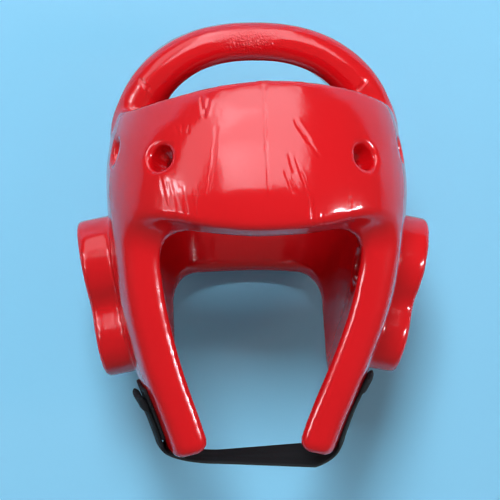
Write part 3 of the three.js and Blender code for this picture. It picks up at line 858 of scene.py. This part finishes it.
def strap_half(side, end_level, on_patch, end_lift, corner, twist_deg):
    """Stations of one half of the strap, from its hem to where it runs level under the chin.

    A station is a point, the directions out of the band and across it, its thickness and its bend.
    """
    lift = STRAP["thickness"] / 2 + (PATCH["thickness"] + 2 * SEAT_GAP if on_patch else STRAP["clear"])
    flap_length = end_level - STRAP["turn"]
    stations = []
    for i in range(STRAP_STEPS + 1):
        share = i / STRAP_STEPS
        stand_off = end_lift * max(1 - share / STRAP_END["lift_share"], 0) ** 2
        point, normal, forward = flap_station(end_level - flap_length * share, side, lift + stand_off)
        from_end = share * flap_length
        fold = max(1 - from_end / FOLD_ROUND, 0)
        hem = STRAP_END["thickness"] * math.sqrt(max(1 - fold**2, LEAST_FOLD))
        thickness = hem if from_end < STRAP_END["hem"] else STRAP["thickness"]
        stations.append((point, normal, forward, thickness, ON_FLAP))
    start, start_normal, start_forward, thickness, _ = stations[-1]
    for i in range(1, STRAP_STEPS + 1):
        share = i / STRAP_STEPS
        turn = math.pi / 2 * share
        twist = math.radians(twist_deg) * share
        point = Vector((
            start.x - side * corner * (1 - math.cos(turn)),
            start.y + (STRAP["slack"] - start.y) * math.sin(turn),
            start.z,
        ))
        flat = Vector((0, -math.sin(twist), math.cos(twist)))
        normal = start_normal.lerp(Vector((0, -1, 0)), share)
        forward = start_forward.lerp(flat, share)
        stations.append((point, normal, forward, thickness, ON_FLAP * (1 - share)))
    return stations


left_half, right_half = (strap_half(*half) for half in STRAP_HALVES)
strap_stations = left_half + right_half[-2::-1]  # the right half turned round, less its last one
strap_length = sum((b[0] - a[0]).length for a, b in zip(strap_stations, strap_stations[1:]))
print("strap length:", round(strap_length, 1), "mm")

# %% [markdown]
# A ring of points round each station, joined to the next ring, makes the band. The ring has two flat
# faces and two round selvedges, and it bows over the round flap.

# %% Band of the chin strap
FLAP_RADIUS = 90.0
BAND_SIDE = 14  # faces across a flat side
BAND_EDGE = 4  # faces round a selvedge


def band_section(station, width):
    """Outline of a band at a station: flat faces and round selvedges."""
    point, normal, forward, thickness, bend = station
    wide = forward.normalized()
    thick = (normal - wide * normal.dot(wide)).normalized()
    half, radius = width / 2 - thickness / 2, thickness / 2
    ring = []
    for end in (1, -1):
        for i in range(BAND_EDGE + 1):
            turn = math.pi * (i / BAND_EDGE - 0.5)
            ring.append((end * (half + radius * math.cos(turn)), end * radius * math.sin(turn)))
        for i in range(1, BAND_SIDE):
            ring.append((end * half * (1 - 2 * i / BAND_SIDE), end * radius))
    return [point + wide * u + thick * (v - bend * u * u / (2 * FLAP_RADIUS)) for u, v in ring]


def band_piece(name, stations, width):
    """Closed band lofted over its stations."""
    rings = [band_section(station, width) for station in stations]
    count = len(rings[0])
    faces = [list(range(count))[::-1]]
    for i in range(len(rings) - 1):
        for j in range(count):
            k = (j + 1) % count
            faces.append([i * count + j, i * count + k, (i + 1) * count + k, (i + 1) * count + j])
    faces.append([(len(rings) - 1) * count + j for j in range(count)])
    points = lean(np.array([p for ring in rings for p in ring]))
    return new_mesh(name, points, faces)


chin_strap = band_piece("chin_strap_webbing", strap_stations, STRAP["width"])
print("strap points:", len(chin_strap.data.vertices))

# %% [markdown]
# The hook patch is a rectangle of hook tape on the left jaw flap, which the strap's end presses on.
# It is a band as well, only shorter, so the same two steps make it.

# %% Hook patch
PATCH_STEPS = 16
patch_stations = []
for i in range(PATCH_STEPS + 1):
    patch_level = PATCH["top"] + (PATCH["bottom"] - PATCH["top"]) * i / PATCH_STEPS
    patch_lift = SEAT_GAP + PATCH["thickness"] / 2
    flap_place = flap_station(patch_level, PATCH["side"], patch_lift)
    patch_stations.append((*flap_place, PATCH["thickness"], ON_FLAP))
hook_patch = band_piece("hook_tape_patch", patch_stations, PATCH["width"])
patch_length = sum((b[0] - a[0]).length for a, b in zip(patch_stations, patch_stations[1:]))
print("patch length:", round(patch_length, 1), "mm")

# %% [markdown]
# Woven elastic is covered with matt polyester yarn in ribs that run its length. It is near black and
# scatters what little light it returns. The real ribs are finer than a pixel, so a few broad ones are
# drawn instead, and a fuzz of loose fibres breaks them up.

# %% Woven black elastic
RIB_MM = 8.8  # from rib to rib, much coarser than the real ones
RIB_SHAPE = {"Distortion": 0.6, "Detail": 1.0}
WAVE_RADIANS = 20  # the phase of a wave texture grows by this much in a unit
FUZZ_MM = 0.9
FUZZ_DETAIL = 4.0
RIB_BUMP = {"Strength": 0.5, "Distance": 0.3 * MM}
FUZZ_BUMP = {"Strength": 0.4, "Distance": 0.3 * MM}
YARN_BLACKS = ("#030405", "#0b0d10")
YARN_FINISH = {"Roughness": 0.82, "Specular IOR Level": 0.25}  # loose yarn returns less than a solid face
elastic, tree, shader = new_material("woven_black_elastic")
place = add_node(tree, "ShaderNodeTexCoord").outputs["Object"]
rib_scale = 2 * math.pi / WAVE_RADIANS / (RIB_MM * MM)
ribs = add_node(tree, "ShaderNodeTexWave", {"wave_type": "BANDS", "bands_direction": "Z"}, {
    "Vector": place, "Scale": rib_scale, **RIB_SHAPE})
fuzz = add_node(tree, "ShaderNodeTexNoise", inputs={
    "Vector": place, "Scale": 1 / (FUZZ_MM * MM), "Detail": FUZZ_DETAIL})
rib_bump = add_node(tree, "ShaderNodeBump", inputs={"Height": ribs.outputs["Fac"], **RIB_BUMP})
fuzz_bump = add_node(tree, "ShaderNodeBump", inputs={
    "Height": fuzz.outputs["Fac"], "Normal": rib_bump.outputs["Normal"], **FUZZ_BUMP})
black = add_node(tree, "ShaderNodeValToRGB", inputs={"Fac": fuzz.outputs["Fac"]})
for stop, colour in zip(black.color_ramp.elements, YARN_BLACKS):
    stop.color = linear(colour)
tree.links.new(black.outputs["Color"], shader.inputs["Base Color"])
tree.links.new(fuzz_bump.outputs["Normal"], shader.inputs["Normal"])
for name, value in YARN_FINISH.items():
    shader.inputs[name].default_value = value
chin_strap.data.materials.append(elastic)
print("strap material:", elastic.name)

# %% [markdown]
# Hook tape is a woven nylon base with rows of tiny stiff hooks. They trap the light, so it looks matt
# and almost black, with a fine grain. The hooks are drawn as the cells of a pattern, coarser than the
# real ones so that they show, and the gaps between the cells are painted darker as painted shade.

# %% Black hook tape
HOOK_MM = 1.5
HOOK_BUMP = {"Strength": 0.8, "Distance": 0.8 * MM}
TAPE_BLACK_AND_GAP_SHADE = ("#101114", "#040406")
TAPE_FINISH = {"Roughness": 0.7, "Specular IOR Level": 0.25}
hook_tape, tree, shader = new_material("black_hook_tape")
place = add_node(tree, "ShaderNodeTexCoord").outputs["Object"]
hooks = add_node(tree, "ShaderNodeTexVoronoi", inputs={"Vector": place, "Scale": 1 / (HOOK_MM * MM)})
hook_bump = add_node(tree, "ShaderNodeBump", {"invert": True}, {
    "Height": hooks.outputs["Distance"], **HOOK_BUMP})
# The ramp gives the tape its near black, with painted shade in the gaps between the hooks
tape_black_and_gap_shade = add_node(tree, "ShaderNodeValToRGB", inputs={"Fac": hooks.outputs["Distance"]})
for stop, colour in zip(tape_black_and_gap_shade.color_ramp.elements, TAPE_BLACK_AND_GAP_SHADE):
    stop.color = linear(colour)
tree.links.new(tape_black_and_gap_shade.outputs["Color"], shader.inputs["Base Color"])
tree.links.new(hook_bump.outputs["Normal"], shader.inputs["Normal"])
for name, value in TAPE_FINISH.items():
    shader.inputs[name].default_value = value
hook_patch.data.materials.append(hook_tape)
print("patch material:", hook_tape.name)

# %% [markdown]
# Strap and patch ride on the root body of the imported model, and the solids that they stand for
# are hidden.

# %% Strap and patch in the imported model
for piece, node, slot_name, width, length in (
    (chin_strap, "chin_strap", "woven_elastic_black", STRAP["width"], strap_length),
    (hook_patch, "hook_patch", "hook_tape_black", PATCH["width"], patch_length),
):
    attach(piece, "root")
    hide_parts(node)
print("webbing pieces:", chin_strap.name, hook_patch.name)

# %% [markdown]
# The guard lies on a sheet of pale blue uncoated paper, which is matt and even to the eye. One face
# is enough for it. It lies a hair below the guard, so that the two surfaces don't mix, and it is
# declared as stage, because it is no part of the guard.

# %% Paper floor
FLOOR_HALF = 3000.0
FLOOR_DROP = 0.2
FLOOR_CORNERS = ((-1, -1), (1, -1), (1, 1), (-1, 1))
PAPER_BLUE = "#8cd7f7"
PAPER_ROUGHNESS = 0.8
floor_points = [(x * FLOOR_HALF, y * FLOOR_HALF, -FLOOR_DROP) for x, y in FLOOR_CORNERS]
floor = new_mesh("paper_floor", floor_points, [range(len(floor_points))])
paper, tree, shader = new_material("pale_blue_paper")
shader.inputs["Base Color"].default_value = linear(PAPER_BLUE)
shader.inputs["Roughness"].default_value = PAPER_ROUGHNESS
floor.data.materials.append(paper)
floor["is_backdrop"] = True
print("paper:", 2 * FLOOR_HALF * MM, "m on each side")

# %% [markdown]
# The camera looks down on the guard from about a metre, from a little towards the crown, so that the
# back panel and the paper show through the face opening. Its focal length is given in pixels of a
# picture 500 wide, and the lens follows from that and the width of the sensor.

# %% Camera
CAMERA = {"target": (-2.7, -28.4, 120.0), "distance": 970.0, "tilt_deg": 10.0, "yaw_deg": 3.3}
FOCAL_PX = 1416.0
IMAGE_PX = 500.0
SENSOR_MM = 36.0


def look_at(obj, place_mm, target_mm, up=Vector((0, 1, 0))):
    """Places a camera or light, with its -Z axis towards a target."""
    ahead = (Vector(target_mm) - Vector(place_mm)).normalized()
    right = ahead.cross(up).normalized()
    turned = Matrix((right, right.cross(ahead), -ahead)).transposed().to_4x4()
    obj.matrix_world = Matrix.Translation(Vector(place_mm) * MM) @ turned


tilt, yaw = math.radians(CAMERA["tilt_deg"]), math.radians(CAMERA["yaw_deg"])
toward_camera = Vector((-math.sin(yaw) * math.cos(tilt), math.sin(tilt), math.cos(yaw) * math.cos(tilt)))
camera_data = bpy.data.cameras.new("camera")
camera_data.sensor_width = SENSOR_MM
camera_data.lens = SENSOR_MM * FOCAL_PX / IMAGE_PX
camera = bpy.data.objects.new("camera", camera_data)
bpy.context.scene.collection.objects.link(camera)
look_at(camera, Vector(CAMERA["target"]) + toward_camera * CAMERA["distance"], CAMERA["target"])
bpy.context.scene.camera = camera
print("camera lens:", round(camera_data.lens, 1), "mm")

# %% [markdown]
# The eye reads a glossy skin by the broad shapes that it mirrors, but softboxes as large as those would
# fill every shadow. So the work is divided: one softbox lights everything, two light only the guard
# and not the paper, and four don't light anything but are seen in the gloss.

# %% Softboxes
SOFTBOX_COLOUR = linear("#f0f6ff")[:3]
LIGHT_TARGET = (0.0, -10.0, 110.0)
guard_only = bpy.data.collections.new("guard_only")
for piece in (dipped_skin, chin_strap, hook_patch):
    guard_only.objects.link(piece)
LIGHTS_ALL, LIGHTS_GUARD, IN_GLOSS = "all", "guard", "gloss"  # what a softbox is for
SOFTBOXES = (  # name, use, place, width, height, watts
    ("key", LIGHTS_ALL, (-400.0, 2080.0, 2890.0), 1000.0, 1000.0, 124.0),
    ("left_side", LIGHTS_GUARD, (-3000.0, 750.0, 2600.0), 1300.0, 1300.0, 16.0),
    ("right_side", LIGHTS_GUARD, (2850.0, 60.0, 2795.0), 1300.0, 1300.0, 62.0),
    ("crown_panel", IN_GLOSS, (120.0, 3005.0, 2195.0), 1800.0, 4500.0, 112.0),
    ("crown_wing", IN_GLOSS, (-1500.0, 2780.0, 2120.0), 1500.0, 3900.0, 36.0),
    ("left_panel", IN_GLOSS, (-3000.0, 750.0, 2600.0), 1300.0, 2000.0, 130.0),
    ("right_strip", IN_GLOSS, (2850.0, 60.0, 2795.0), 1700.0, 420.0, 260.0),
)
for name, use, light_place, width, height, watts in SOFTBOXES:
    data = bpy.data.lights.new(name, "AREA")
    data.shape = "RECTANGLE"
    data.size, data.size_y = width * MM, height * MM
    data.energy = watts
    data.color = SOFTBOX_COLOUR
    light = bpy.data.objects.new(name, data)
    light.visible_camera = False
    light.visible_diffuse = use != IN_GLOSS
    light.visible_glossy = use == IN_GLOSS
    if use == LIGHTS_GUARD:
        light.light_linking.receiver_collection = guard_only
    bpy.context.scene.collection.objects.link(light)
    look_at(light, light_place, LIGHT_TARGET)
print("softboxes:", len(SOFTBOXES))

# %% [markdown]
# A dim, even surround stands for the rest of the room. The standard view shows colours as they are,
# where a filmic one would fade the strong red.

# %% Surround and view
SURROUND = {"Color": linear("#eef3f8"), "Strength": 0.22}
bpy.context.scene.view_settings.view_transform = "Standard"
world = bpy.data.worlds.new("studio")
bpy.context.scene.world = world
world.use_nodes = True
for name, value in SURROUND.items():
    world.node_tree.nodes["Background"].inputs[name].default_value = value
print("surround strength:", SURROUND["Strength"])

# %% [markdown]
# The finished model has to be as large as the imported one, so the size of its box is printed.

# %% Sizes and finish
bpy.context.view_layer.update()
for axis, low, high in zip("XYZ", *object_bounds()):
    print("size along", axis, "is", round((high - low) / MM, 1), "mm")
